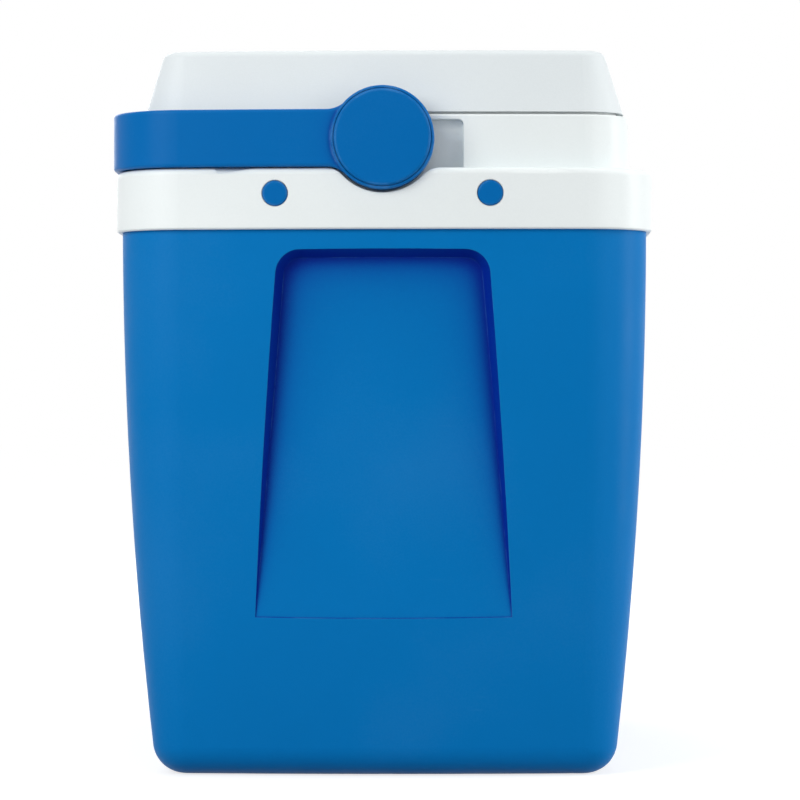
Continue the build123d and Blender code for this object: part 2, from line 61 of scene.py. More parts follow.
class CarrierColours(bpy.types.PropertyGroup):
    """The colours of the mouldings and soft parts"""

    shell: bpy.props.FloatVectorProperty(
        name="Shell",
        description="Blue of the tapered shell",
        subtype="COLOR",
        default=(0.0, 0.176, 0.500),
        min=0,
        max=1,
    )
    handle: bpy.props.FloatVectorProperty(
        name="Handle",
        description="Blue of the handle, its hub caps and the plugs",
        subtype="COLOR",
        default=(0.0, 0.140, 0.440),
        min=0,
        max=1,
    )
    # Painted shade: the colour the blue mouldings are darkened to where creases and recesses would be in
    # shade.
    painted_blue_shade: bpy.props.FloatVectorProperty(
        name="Blue shade",
        description="What the blues deepen to inside creases",
        subtype="COLOR",
        default=(0.001, 0.021, 0.290),
        min=0,
        max=1,
    )
    collar: bpy.props.FloatVectorProperty(
        name="Collar",
        description="White of the collar",
        subtype="COLOR",
        default=(0.855, 0.905, 0.905),
        min=0,
        max=1,
    )
    lid: bpy.props.FloatVectorProperty(
        name="Lid",
        description="White of the lid",
        subtype="COLOR",
        default=(0.735, 0.785, 0.800),
        min=0,
        max=1,
    )
    # Painted shade: the colour the white mouldings are darkened to where creases and recesses would be in
    # shade.
    painted_white_shade: bpy.props.FloatVectorProperty(
        name="White shade",
        description="What the whites dull to inside creases",
        subtype="COLOR",
        default=(0.400, 0.460, 0.490),
        min=0,
        max=1,
    )
    liner: bpy.props.FloatVectorProperty(
        name="Liner",
        description="White of the liner and the lid's tray",
        subtype="COLOR",
        default=(0.780, 0.800, 0.800),
        min=0,
        max=1,
    )
    insulation: bpy.props.FloatVectorProperty(
        name="Insulation",
        description="Rigid foam between the walls",
        subtype="COLOR",
        default=(0.800, 0.700, 0.440),
        min=0,
        max=1,
    )
    seal: bpy.props.FloatVectorProperty(
        name="Seal",
        description="Foamed rubber of the lid's seal",
        subtype="COLOR",
        default=(0.200, 0.210, 0.220),
        min=0,
        max=1,
    )
    pack: bpy.props.FloatVectorProperty(
        name="Pack",
        description="Milky plastic of the coolant packs",
        subtype="COLOR",
        default=(0.620, 0.740, 0.820),
        min=0,
        max=1,
    )
    coolant: bpy.props.FloatVectorProperty(
        name="Coolant",
        description="Tint of the packs below the coolant's level",
        subtype="COLOR",
        default=(0.360, 0.560, 0.700),
        min=0,
        max=1,
    )
    pin: bpy.props.FloatVectorProperty(
        name="Pin",
        description="Grey plastic of the pivot pins",
        subtype="COLOR",
        default=(0.550, 0.570, 0.580),
        min=0,
        max=1,
    )
    pad: bpy.props.FloatVectorProperty(
        name="Pad",
        description="Soft foam of the vial pad",
        subtype="COLOR",
        default=(0.075, 0.085, 0.105),
        min=0,
        max=1,
    )


class SurfaceDetail(bpy.types.PropertyGroup):
    """How fine and how worn the moulded surfaces are"""

    grain_size: bpy.props.FloatProperty(
        name="Grain size",
        description="Width of one grain of the moulded texture",
        unit="LENGTH",
        default=0.0007,
        min=0.0001,
    )
    ripple_size: bpy.props.FloatProperty(
        name="Ripple size",
        description="Width of the slow waves left by moulding",
        unit="LENGTH",
        default=0.045,
        min=0.005,
    )
    edge_radius: bpy.props.FloatProperty(
        name="Edge radius",
        description="How round the edges of the mouldings look",
        unit="LENGTH",
        default=0.0009,
        min=0.0002,
    )
    wear_amount: bpy.props.FloatProperty(
        name="Wear amount",
        description="How much edges are rubbed lighter",
        subtype="FACTOR",
        default=0.30,
        min=0,
        max=1,
    )
    # Painted shade: how far out of a crease the shade is painted into the colour.
    painted_shade_reach: bpy.props.FloatProperty(
        name="Shade reach",
        description="How far the deeper colour reaches out of a crease",
        unit="LENGTH",
        default=0.080,
        min=0.001,
    )
    scuff_size: bpy.props.FloatProperty(
        name="Scuff size",
        description="Length of the faint handling marks",
        unit="LENGTH",
        default=0.03,
        min=0.005,
    )
    foam_cell: bpy.props.FloatProperty(
        name="Foam cell",
        description="Width of one cell of the soft foam",
        unit="LENGTH",
        default=0.0011,
        min=0.0002,
    )


class PadShape(bpy.types.PropertyGroup):
    """The soft pad on the liner's floor"""

    corner: bpy.props.FloatProperty(
        name="Corner",
        description="Radius of the upright corners",
        unit="LENGTH",
        default=0.010,
        min=0.002,
    )
    edge_radius: bpy.props.FloatProperty(
        name="Edge radius",
        description="How round the upper edge is",
        unit="LENGTH",
        default=0.005,
        min=0.001,
    )
    crown: bpy.props.FloatProperty(
        name="Crown",
        description="How far the top's middle stands up",
        unit="LENGTH",
        default=0.0015,
        min=0,
    )
    slit_pitch_x: bpy.props.FloatProperty(
        name="Slit pitch across",
        description="Between slits, across",
        unit="LENGTH",
        default=0.038,
        min=0.02,
    )
    slit_pitch_y: bpy.props.FloatProperty(
        name="Slit pitch along",
        description="Between slits, along",
        unit="LENGTH",
        default=0.042,
        min=0.02,
    )
    slit_length: bpy.props.FloatProperty(
        name="Slit length",
        description="Length of each cut of a cross",
        unit="LENGTH",
        default=0.026,
        min=0.005,
    )
    slit_width: bpy.props.FloatProperty(
        name="Slit width",
        description="Between the lips of a slit",
        unit="LENGTH",
        default=0.0015,
        min=0.0005,
    )
    slit_depth: bpy.props.FloatProperty(
        name="Slit depth",
        description="How deep the slits are cut",
        unit="LENGTH",
        default=0.018,
        min=0.002,
    )
    slit_margin: bpy.props.FloatProperty(
        name="Slit margin",
        description="Whole foam left at the sides",
        unit="LENGTH",
        default=0.006,
        min=0.001,
    )


class SealShape(bpy.types.PropertyGroup):
    """The lid's soft seal"""

    width: bpy.props.FloatProperty(
        name="Width", description="Across the strip", unit="LENGTH", default=0.005, min=0.001
    )
    corner: bpy.props.FloatProperty(
        name="Corner",
        description="Radius of the seal's outer corners",
        unit="LENGTH",
        default=0.038,
        min=0.01,
    )
    lip_depth: bpy.props.FloatProperty(
        name="Lip depth",
        description="Depth of the groove between lips",
        unit="LENGTH",
        default=0.0008,
        min=0,
    )
    lip_count: bpy.props.IntProperty(name="Lips", description="Soft lips side by side", default=2, min=1)


class StageSetup(bpy.types.PropertyGroup):
    """Camera, floor and light of the studio"""

    camera_place: bpy.props.FloatVectorProperty(
        name="Camera place",
        description="Where the camera stands",
        subtype="XYZ",
        unit="LENGTH",
        default=(0.0373, -1.929, 0.2071),
    )
    camera_turn: bpy.props.FloatProperty(
        name="Camera turn",
        description="How far the camera looks to its left",
        subtype="ANGLE",
        default=math.radians(0.926),
    )
    camera_roll: bpy.props.FloatProperty(
        name="Camera roll",
        description="How far the camera is turned about its view line",
        subtype="ANGLE",
        default=math.radians(0.079),
    )
    lens: bpy.props.FloatProperty(
        name="Lens", description="Focal length on a 36 mm wide sensor", default=143.5, min=10
    )
    key_power: bpy.props.FloatProperty(
        name="Key power",
        description="Large soft box, front left and above",
        unit="POWER",
        default=19.5,
        min=0,
    )
    fill_power: bpy.props.FloatProperty(
        name="Fill power",
        description="Soft box, front right",
        unit="POWER",
        default=9.0,
        min=0,
    )
    top_power: bpy.props.FloatProperty(
        name="Top power", description="Overhead soft box", unit="POWER", default=8.0, min=0
    )
    side_power: bpy.props.FloatProperty(
        name="Side power",
        description="Tall strip, far right",
        unit="POWER",
        default=14.0,
        min=0,
    )
    back_power: bpy.props.FloatProperty(
        name="Back power", description="Soft box behind, on the left", unit="POWER", default=14.0, min=0
    )
    ambient: bpy.props.FloatProperty(
        name="Ambient",
        description="Strength of the room's even light",
        default=0.30,
        min=0,
        max=1,
    )
    floor_white: bpy.props.FloatProperty(
        name="Floor white",
        description="White added to the floor by the carrier",
        default=0.72,
        min=0,
        max=1,
    )


# ---------------------------------------------------------------- shader node helpers


def new_group(name, inputs, outputs):
    """An empty shader node group with these inputs and outputs; returns it with its two end nodes."""
    group = bpy.data.node_groups.new(name, "ShaderNodeTree")
    for title, kind, default in inputs:
        socket = group.interface.new_socket(name=title, in_out="INPUT", socket_type="NodeSocket" + kind)
        socket.default_value = default
    for title, kind in outputs:
        group.interface.new_socket(name=title, in_out="OUTPUT", socket_type="NodeSocket" + kind)
    return group, group.nodes.new("NodeGroupInput"), group.nodes.new("NodeGroupOutput")


def node(tree, kind, **settings):
    """A new shader node of a tree, with its settings."""
    made = tree.nodes.new("ShaderNode" + kind)
    for name, value in settings.items():
        setattr(made, name, value)
    return made


def feed(tree, target, **values):
    """Links or sets a node's inputs, named with _ for spaces or by number as _0, and returns the node."""
    for name, value in values.items():
        key = int(name[1:]) if name[1:].isdigit() else name.replace("_", " ")
        socket = target.inputs[key]
        if isinstance(value, bpy.types.NodeSocket):
            tree.links.new(value, socket)
        else:
            socket.default_value = value
    return target


def maths(tree, operation, *values):
    """The result of a Math node over one to three values."""
    made = node(tree, "Math", operation=operation)
    for place, value in enumerate(values):
        feed(tree, made, **{f"_{place}": value})
    return made.outputs[0]


def ramp(tree, value, low, high, to_low=0.0, to_high=1.0):
    """A value carried from one range to another, smooth and clamped at both ends."""
    made = node(tree, "MapRange", interpolation_type="SMOOTHSTEP")
    feed(tree, made, Value=value, From_Min=low, From_Max=high, To_Min=to_low, To_Max=to_high)
    return made.outputs["Result"]


def object_place(tree):
    """The Object coordinates of the shaded point, in metres."""
    return node(tree, "TexCoord").outputs["Object"]


def noise(tree, place, size, detail=2.0, roughness=0.5):
    """Noise whose waves are about size metres wide."""
    scale = 1.0 / size if isinstance(size, float) else maths(tree, "DIVIDE", 1.0, size)
    made = node(tree, "TexNoise")
    feed(tree, made, Vector=place, Scale=scale, Detail=detail, Roughness=roughness)
    return made.outputs["Fac"]


def blend_colours(tree, factor, first, second):
    """Two colours mixed by a factor."""
    made = node(tree, "Mix", data_type="RGBA")
    feed(tree, made, _0=factor, _6=first, _7=second)
    return made.outputs[2]


def opaque(colour):
    """A colour property as the four numbers that a socket takes."""
    return (*colour, 1.0)


# ---------------------------------------------------------------- effects shared by the materials


def make_moulded_grain():
    """Height of a moulded surface: fine spark-eroded grain, on slow waves where the wall cooled unevenly."""
    group, entry, leave = new_group(
        "Moulded Grain",
        [("Grain Size", "Float", 0.0007), ("Ripple Size", "Float", 0.04), ("Ripple", "Float", 0.5)],
        [("Height", "Float")],
    )
    place = object_place(group)
    fine = noise(group, place, entry.outputs["Grain Size"], 2.0, 0.6)
    slow = noise(group, place, entry.outputs["Ripple Size"], 1.0, 0.4)
    total = maths(group, "MULTIPLY_ADD", slow, entry.outputs["Ripple"], fine)
    feed(group, leave, Height=total)
    return group


def make_soft_edges():
    """The normal of a rounded edge, and a mask of where such an edge is rubbed, broken up by noise; on the
    handle the mask also paints a sheen. The mask grows with the turn between the rounded normal and the
    plain one, given here as its cosine."""
    slight_turn, full_turn = 0.995, 0.90
    group, entry, leave = new_group(
        "Soft Edges",
        [("Radius", "Float", 0.001), ("Amount", "Float", 0.4), ("Patch Size", "Float", 0.012)],
        [("Wear", "Float"), ("Normal", "Vector")],
    )
    rounded = feed(group, node(group, "Bevel", samples=6), Radius=entry.outputs["Radius"])
    flat_normal = node(group, "NewGeometry").outputs["Normal"]
    turn = node(group, "VectorMath", operation="DOT_PRODUCT")
    feed(group, turn, _0=rounded.outputs["Normal"], _1=flat_normal)
    edge = ramp(group, turn.outputs["Value"], slight_turn, full_turn)
    patches = noise(group, object_place(group), entry.outputs["Patch Size"], 4.0, 0.65)
    broken = maths(group, "MULTIPLY", edge, ramp(group, patches, 0.38, 0.66))
    feed(group, leave, Wear=maths(group, "MULTIPLY", broken, entry.outputs["Amount"]))
    feed(group, leave, Normal=rounded.outputs["Normal"])
    return group


def make_crease_shade():
    """Mask of painted shade in creases: how much of the nearby space is closed off, slight in a hollow, full
    in a corner. It is full where a quarter of that space is closed."""
    full_at = 0.25
    group, entry, leave = new_group("Crease Shade", [("Reach", "Float", 0.012)], [("Shade", "Float")])
    openness = node(group, "AmbientOcclusion", samples=12, only_local=True)
    feed(group, openness, Distance=entry.outputs["Reach"])
    closed = maths(group, "SUBTRACT", 1.0, openness.outputs["AO"])
    shade = maths(group, "MULTIPLY", closed, 1.0 / full_at)
    feed(group, leave, Shade=maths(group, "MINIMUM", shade, 1.0))
    return group


def make_soft_tones():
    """Colour that drifts a little over the piece, as pigment does in a large moulding, with fine specks."""
    speck_size, speck_share = 0.0011, 0.25
    group, entry, leave = new_group(
        "Soft Tones",
        [("Colour", "Color", (0.5, 0.5, 0.5, 1)), ("Drift", "Float", 0.06), ("Patch Size", "Float", 0.12)],
        [("Colour", "Color")],
    )
    place = object_place(group)
    broad = noise(group, place, entry.outputs["Patch Size"], 2.0, 0.5)
    specks = noise(group, place, speck_size, 1.0, 0.5)
    broad_part = maths(group, "MULTIPLY", broad, 1.0 - speck_share)
    both = maths(group, "MULTIPLY_ADD", specks, speck_share, broad_part)
    swing = maths(group, "MULTIPLY", maths(group, "SUBTRACT", both, 0.5), entry.outputs["Drift"])
    toned = node(group, "HueSaturation")
    feed(group, toned, Color=entry.outputs["Colour"], Value=maths(group, "MULTIPLY_ADD", swing, 2.0, 1.0))
    feed(group, toned, Saturation=maths(group, "SUBTRACT", 1.0, swing))
    feed(group, leave, Colour=toned.outputs["Color"])
    return group


def make_handling_marks():
    """Mask of faint scuffs: long thin noise in two directions, kept only at its peaks and in patches."""
    thinness, patch_size = 14.0, 0.0625
    group, entry, leave = new_group(
        "Handling Marks", [("Mark Size", "Float", 0.03), ("Amount", "Float", 0.5)], [("Marks", "Float")]
    )
    place = object_place(group)
    marks = []
    for turn in ((0.2, 0.4, 0.6), (0.9, -0.5, -0.8)):
        stretched = node(group, "Mapping")
        feed(group, stretched, Vector=place, Rotation=turn, Scale=(1.0, thinness, thinness))
        long_noise = noise(group, stretched.outputs["Vector"], entry.outputs["Mark Size"], 3.0, 0.55)
        marks.append(ramp(group, long_noise, 0.66, 0.76))
    patches = ramp(group, noise(group, place, patch_size, 2.0, 0.5), 0.48, 0.68)
    kept = maths(group, "MULTIPLY", maths(group, "MAXIMUM", *marks), patches)
    feed(group, leave, Marks=maths(group, "MULTIPLY", kept, entry.outputs["Amount"]))
    return group


def make_foam_cells():
    """Height and painted shade of cut foam: small round cells with thin walls between them, their hollows
    painted darker as painted shade, in lighter and darker clumps of random tone."""
    clump_size, painted_hollow_shade = 0.00625, 0.35
    group, entry, leave = new_group(
        "Foam Cells", [("Cell Size", "Float", 0.0012)], [("Height", "Float"), ("Shade", "Float")]
    )
    place = object_place(group)
    cells = node(group, "TexVoronoi", feature="DISTANCE_TO_EDGE")
    feed(group, cells, Vector=place, Scale=maths(group, "DIVIDE", 1.0, entry.outputs["Cell Size"]))
    inside = ramp(group, cells.outputs["Distance"], 0.02, 0.22)
    clumps = noise(group, place, clump_size, 3.0, 0.6)
    light = maths(group, "MULTIPLY_ADD", clumps, 0.3, 0.85)
    feed(group, leave, Height=maths(group, "SUBTRACT", 1.0, inside))
    feed(group, leave, Shade=maths(group, "MULTIPLY_ADD", inside, -painted_hollow_shade, light))
    return group


effect_makers = {
    "Moulded Grain": make_moulded_grain,
    "Soft Edges": make_soft_edges,
    "Crease Shade": make_crease_shade,
    "Soft Tones": make_soft_tones,
    "Handling Marks": make_handling_marks,
    "Foam Cells": make_foam_cells,
}


def effect(tree, name, **values):
    """One of the shared effects placed in a material, made on its first use."""
    made = tree.nodes.new("ShaderNodeGroup")
    made.node_tree = bpy.data.node_groups.get(name) or effect_makers[name]()
    return feed(tree, made, **values)


# ---------------------------------------------------------------- materials


def empty_material(name):
    """A material with only its surface shader and output."""
    material = bpy.data.materials.new(name)
    material.use_nodes = True
    tree = material.node_tree
    return material, tree, tree.nodes["Principled BSDF"]


def bend_normal(tree, surface, height, strength, distance, base_normal=None):
    """Gives the surface shader a normal bent by a height, from the piece's own or another normal."""
    bump = feed(tree, node(tree, "Bump"), Height=height, Strength=strength, Distance=distance)
    if base_normal:
        feed(tree, bump, Normal=base_normal)
    feed(tree, surface, Normal=bump.outputs["Normal"])


# What every moulded finish shares.
scuff_share = 0.45  # most that the mask of scuffs reaches
scuff_paling = 0.16  # how far scuffs go to the rubbed colour
scuff_dulling = 0.18  # roughness that scuffs add
rub_dulling = 0.15  # roughness that rubbed edges add
gloss_drift = 0.035  # how far the roughness drifts to either side
grain_depth = 0.0004  # height of the grain, in metres


def moulded_plastic(name, colour, shade, worn, roughness, grain, specular, wear=1.0, creases=1.0, radii=1.0):
    """Moulded plastic: drifting pigment, painted shade in creases, grain, rubbed round edges and dull
    scuffs. grain is its strength and the share of slow waves in it. The last three scale what all finishes
    share: the rubbed edges, the painted shade in creases and the radius of the rounded edges."""
    detail = bpy.context.scene.carrier_detail
    material, tree, surface = empty_material(name)
    tones = effect(tree, "Soft Tones", Colour=opaque(colour), Drift=0.07, Patch_Size=0.11)
    crease = effect(tree, "Crease Shade", Reach=detail.painted_shade_reach)
    radius = detail.edge_radius * radii
    edges = effect(tree, "Soft Edges", Radius=radius, Amount=detail.wear_amount * wear, Patch_Size=0.013)
    marks = effect(tree, "Handling Marks", Mark_Size=detail.scuff_size, Amount=scuff_share * min(wear, 1.0))
    # Painted shade: the colour is darkened toward the shade colour where creases and recesses close off the
    # space round a point.
    depth = maths(tree, "MULTIPLY", crease.outputs["Shade"], creases)
    shade_painted_colour = blend_colours(tree, depth, tones.outputs["Colour"], opaque(shade))
    faint_marks = maths(tree, "MULTIPLY", marks.outputs["Marks"], scuff_paling)
    # Lighter rubbed edges and scuffs; on the handle the edges also carry a painted sheen.
    rubbed = maths(tree, "MAXIMUM", edges.outputs["Wear"], faint_marks)
    painted = blend_colours(tree, rubbed, shade_painted_colour, opaque(worn))
    patches = noise(tree, object_place(tree), 0.045, 3.0, 0.55)
    gloss = ramp(tree, patches, 0.3, 0.7, roughness - gloss_drift, roughness + gloss_drift)
    gloss = maths(tree, "MULTIPLY_ADD", marks.outputs["Marks"], scuff_dulling, gloss)
    gloss = maths(tree, "MULTIPLY_ADD", edges.outputs["Wear"], rub_dulling, gloss)
    feed(tree, surface, Base_Color=painted, Roughness=gloss, Specular_IOR_Level=specular)
    strength, ripple = grain
    height = effect(
        tree, "Moulded Grain", Grain_Size=detail.grain_size, Ripple_Size=detail.ripple_size, Ripple=ripple
    )
    bend_normal(tree, surface, height.outputs["Height"], strength, grain_depth, edges.outputs["Normal"])
    return material


# What the colours go to where they are rubbed, the painted shade in the pins' creases, on scuffed packs and
# under dust.
worn_blue = (0.060, 0.270, 0.620)
# The handle's rubbed blue is partly rubbing and partly a painted sheen along its edges.
sheen_and_rubbed_blue = (0.130, 0.330, 0.660)
worn_white = (0.740, 0.745, 0.730)
worn_grey = (0.720, 0.730, 0.730)
painted_pin_shade = (0.250, 0.270, 0.280)
frost = (0.860, 0.900, 0.930)
dust_grey = (0.500, 0.500, 0.490)


def shell_blue():
    """Satin blue of the shell, with a fine all-over grain."""
    colours = bpy.context.scene.carrier_colours
    # Its creases and its recess get the full painted shade.
    return moulded_plastic(
        "shell_blue",
        colours.shell,
        colours.painted_blue_shade,
        worn_blue,
        roughness=0.42,
        grain=(0.10, 3.0),
        specular=0.06,
    )


def handle_blue():
    """Smoother blue of the handle, its caps and the plugs. Its edges are lightened more and wider than the
    shell's, partly as rubbing and partly as a painted sheen.
    """
    colours = bpy.context.scene.carrier_colours
    return moulded_plastic(
        "handle_blue",
        colours.handle,
        colours.painted_blue_shade,
        sheen_and_rubbed_blue,
        roughness=0.36,
        grain=(0.07, 2.0),
        specular=0.07,
        wear=2.0,
        creases=0.5,
        radii=2.0,
    )


def collar_white():
    """White of the collar."""
    colours = bpy.context.scene.carrier_colours
    return moulded_plastic(
        "collar_white",
        colours.collar,
        colours.painted_white_shade,
        worn_white,
        roughness=0.40,
        grain=(0.07, 3.0),
        specular=0.3,
        wear=0.4,
        creases=0.08,
    )


def lid_white():
    """Slightly greyer white of the lid, with the strongest grain."""
    colours = bpy.context.scene.carrier_colours
    return moulded_plastic(
        "lid_white",
        colours.lid,
        colours.painted_white_shade,
        worn_white,
        roughness=0.45,
        grain=(0.13, 3.0),
        specular=0.3,
        wear=0.4,
        creases=0.16,
    )


def liner_white():
    """Smooth white of the liner and the lid's tray."""
    colours = bpy.context.scene.carrier_colours
    return moulded_plastic(
        "liner_white",
        colours.liner,
        colours.painted_white_shade,
        worn_white,
        roughness=0.30,
        grain=(0.03, 3.5),
        specular=0.4,
        wear=0.12,
        creases=0.3,
        radii=0.4,
    )


def pin_grey():
    """Grey acetal of the pivot pins."""
    colours = bpy.context.scene.carrier_colours
    return moulded_plastic(
        "pin_grey",
        colours.pin,
        painted_pin_shade,
        worn_grey,
        roughness=0.36,
        grain=(0.05, 1.0),
        specular=0.5,
        wear=0.6,
        creases=0.5,
    )


def cap_blue():
    """Blue of the screw caps on the packs."""
    colours = bpy.context.scene.carrier_colours
    return moulded_plastic(
        "cap_blue",
        colours.handle,
        colours.painted_blue_shade,
        worn_blue,
        roughness=0.36,
        grain=(0.08, 2.0),
        specular=0.4,
        creases=0.5,
    )


def pack_milky():
    """Milky blow-moulded bottle: light goes into it, and its tint is stronger where the coolant stands."""
    detail = bpy.context.scene.carrier_detail
    colours = bpy.context.scene.carrier_colours
    filled_share, wave_size, wave_height, soft_line = 0.86, 0.033, 0.006, 0.004
    level = pack_low.z + filled_share * (pack_high.z - pack_low.z)
    material, tree, surface = empty_material("pack_milky")
    tones = effect(tree, "Soft Tones", Colour=opaque(colours.pack), Drift=0.10, Patch_Size=0.05)
    marks = effect(tree, "Handling Marks", Mark_Size=detail.scuff_size, Amount=0.6)
    place = object_place(tree)
    split = feed(tree, node(tree, "SeparateXYZ"), Vector=place)
    waves = noise(tree, place, wave_size, 1.0, 0.5)
    wavy_height = maths(tree, "MULTIPLY_ADD", waves, wave_height, split.outputs["Z"])
    filled = ramp(tree, wavy_height, level, level + soft_line, 0.35, 0.0)
    tinted = blend_colours(tree, filled, tones.outputs["Colour"], opaque(colours.coolant))
    scuffed = maths(tree, "MULTIPLY", marks.outputs["Marks"], 0.5)
    frosted = blend_colours(tree, scuffed, tinted, opaque(frost))
    gloss = maths(tree, "MULTIPLY_ADD", marks.outputs["Marks"], 0.25, 0.34)
    feed(tree, surface, Base_Color=frosted, Roughness=gloss, Subsurface_Weight=0.25, Subsurface_Scale=0.01)
    grain = effect(tree, "Moulded Grain", Grain_Size=0.0012, Ripple_Size=0.02, Ripple=3.0)
    bend_normal(tree, surface, grain.outputs["Height"], 0.12, 0.0005)
    return material


def foam_material(name, colour, cell_size, strength, roughness):
    """Cut foam: its cells show in the colour, as painted shade in their hollows, and in the height."""
    material, tree, surface = empty_material(name)
    tones = effect(tree, "Soft Tones", Colour=opaque(colour), Drift=0.16, Patch_Size=0.05)
    cells = effect(tree, "Foam Cells", Cell_Size=cell_size)
    shaded = node(tree, "HueSaturation")
    feed(tree, shaded, Color=tones.outputs["Colour"], Value=cells.outputs["Shade"])
    feed(tree, surface, Base_Color=shaded.outputs["Color"], Roughness=roughness, Specular_IOR_Level=0.2)
    bend_normal(tree, surface, cells.outputs["Height"], strength, cell_size * 0.5)
    return material


def insulation_foam():
    """Rigid foam between the walls, with larger cells than the soft foam."""
    coarseness = 1.5
    scene = bpy.context.scene
    cell_size = coarseness * scene.carrier_detail.foam_cell
    return foam_material("insulation_foam", scene.carrier_colours.insulation, cell_size, 0.35, 0.8)


def pad_foam():
    """Soft open foam of the vial pad."""
    scene = bpy.context.scene
    return foam_material("pad_foam", scene.carrier_colours.pad, scene.carrier_detail.foam_cell, 0.8, 0.95)


def seal_rubber():
    """Foamed rubber of the seal, matt and a little dusty."""
    material, tree, surface = empty_material("seal_rubber")
    colour = bpy.context.scene.carrier_colours.seal
    tones = effect(tree, "Soft Tones", Colour=opaque(colour), Drift=0.12, Patch_Size=0.03)
    dust = ramp(tree, noise(tree, object_place(tree), 0.0042, 4.0, 0.7), 0.52, 0.80, 0.0, 0.30)
    dusted = blend_colours(tree, dust, tones.outputs["Colour"], opaque(dust_grey))
    feed(tree, surface, Base_Color=dusted, Roughness=0.78, Specular_IOR_Level=0.3)
    grain = effect(tree, "Moulded Grain", Grain_Size=0.0004, Ripple_Size=0.006, Ripple=1.0)
    bend_normal(tree, surface, grain.outputs["Height"], 0.3, 0.0003)
    return material


def finish_nodes(material, *names):
    """One material on several CAD nodes."""
    for name in names:
        mesh = nodes[name].data
        mesh.materials.clear()
        mesh.materials.append(material)


def nodes_named(start):
    """The names of the CAD nodes that start with these words, in order."""
    return sorted(name for name in nodes if name.startswith(start))


# ---------------------------------------------------------------- surfaces worked out with numpy


def mesh_piece(name, points, faces, material):
    """An object at the origin from an array of points and an array of quads, shaded smooth."""
    mesh = bpy.data.meshes.new(name)
    mesh.from_pydata(points.reshape(-1, 3).tolist(), [], faces.tolist())
    mesh.shade_smooth()
    mesh.materials.append(material)
    piece = bpy.data.objects.new(name, mesh)
    bpy.context.scene.collection.objects.link(piece)
    return piece


def grid_quads(rows, columns, close_rows=False, close_columns=False):
    """Corners of the quads of a grid of points, joined up at its far sides where asked."""
    row, column = np.meshgrid(
        np.arange(rows - (not close_rows)), np.arange(columns - (not close_columns)), indexing="ij"
    )
    below = (row + 1) % rows
    beside = (column + 1) % columns
    here, under = row * columns, below * columns
    corners = (here + column, under + column, under + beside, here + beside)
    return np.stack([corner.ravel() for corner in corners], 1)


def rounded_rectangle(half_x, half_y, radius, steps):
    """Points round a rectangle, counterclockwise, and their outward directions. Each corner is a quarter
    turn of a circle about its centre, and the straight sides are the spans between the corners."""
    quarter = np.arange(4)[:, None]
    angle = (np.linspace(0, np.pi / 2, steps)[None, :] + quarter * np.pi / 2).ravel()
    outward = np.stack([np.cos(angle), np.sin(angle)], 1)
    side_x = np.repeat([1, -1, -1, 1], steps) * (half_x - radius)
    side_y = np.repeat([1, 1, -1, -1], steps) * (half_y - radius)
    return np.stack([side_x, side_y], 1) + outward * radius, outward


def seal_surface(low, high, shape):
    """The seal: a profile carried round a rounded rectangle. Across the strip, u from -1 to 1, the top is
    flat, with a sixth of the points. The underside hangs down by the half height times the eighth root of
    one less u to the eighth, and is raised by a cosine groove on both sides of each lip."""
    points_across, points_apart, corner_points, squareness = 25, 6, 16, 8
    half_x, half_y, half_z = (high - low) / 2
    across = np.linspace(-1, 1, points_across)
    groove = shape.lip_depth * (0.5 + 0.5 * np.cos(np.pi * shape.lip_count * (across + 1)))
    underside = -half_z * (1 - across**squareness) ** (1 / squareness) + groove
    back = across[::-points_apart]
    inward = (1 - np.concatenate([across, back])) * shape.width / 2
    upward = np.concatenate([underside, np.full(back.size, half_z)])
    path, outward = rounded_rectangle(half_x, half_y, shape.corner, corner_points)
    flat = path[:, None, :] - outward[:, None, :] * inward[None, :, None]
    rise = np.broadcast_to(upward[None, :, None], flat.shape[:2] + (1,))
    return np.concatenate([flat, rise], 2) + (high + low) / 2


def slit_centres(length, pitch, shape):
    """Places of the slits along a side: as many as fit between the margins, centred."""
    count = int((length - shape.slit_length - 2 * shape.slit_margin) / pitch) + 1
    return (np.arange(count) - (count - 1) / 2) * pitch


def grid_lines(half, centres, shape, step):
    """Grid lines from -half to half: close together at the rim and at each slit's lips and ends."""
    rim_lines, clearance = 7, 0.3 * step
    lips = np.array([0.0, 0.45, 0.8, 1.0, 1.6, 3.0]) * shape.slit_width / 2
    offsets = np.concatenate([-lips, lips, [-shape.slit_length / 2, shape.slit_length / 2]])
    rim = half - shape.edge_radius * (1 - np.cos(np.linspace(0, np.pi / 2, rim_lines)))
    close = np.concatenate([(centres[:, None] + offsets[None, :]).ravel(), rim, -rim])
    even = np.linspace(-half, half, int(2 * half / step))
    clear = even[np.min(np.abs(even[:, None] - close[None, :]), axis=1) > clearance]
    return np.unique(np.round(np.concatenate([clear, close]), 7))


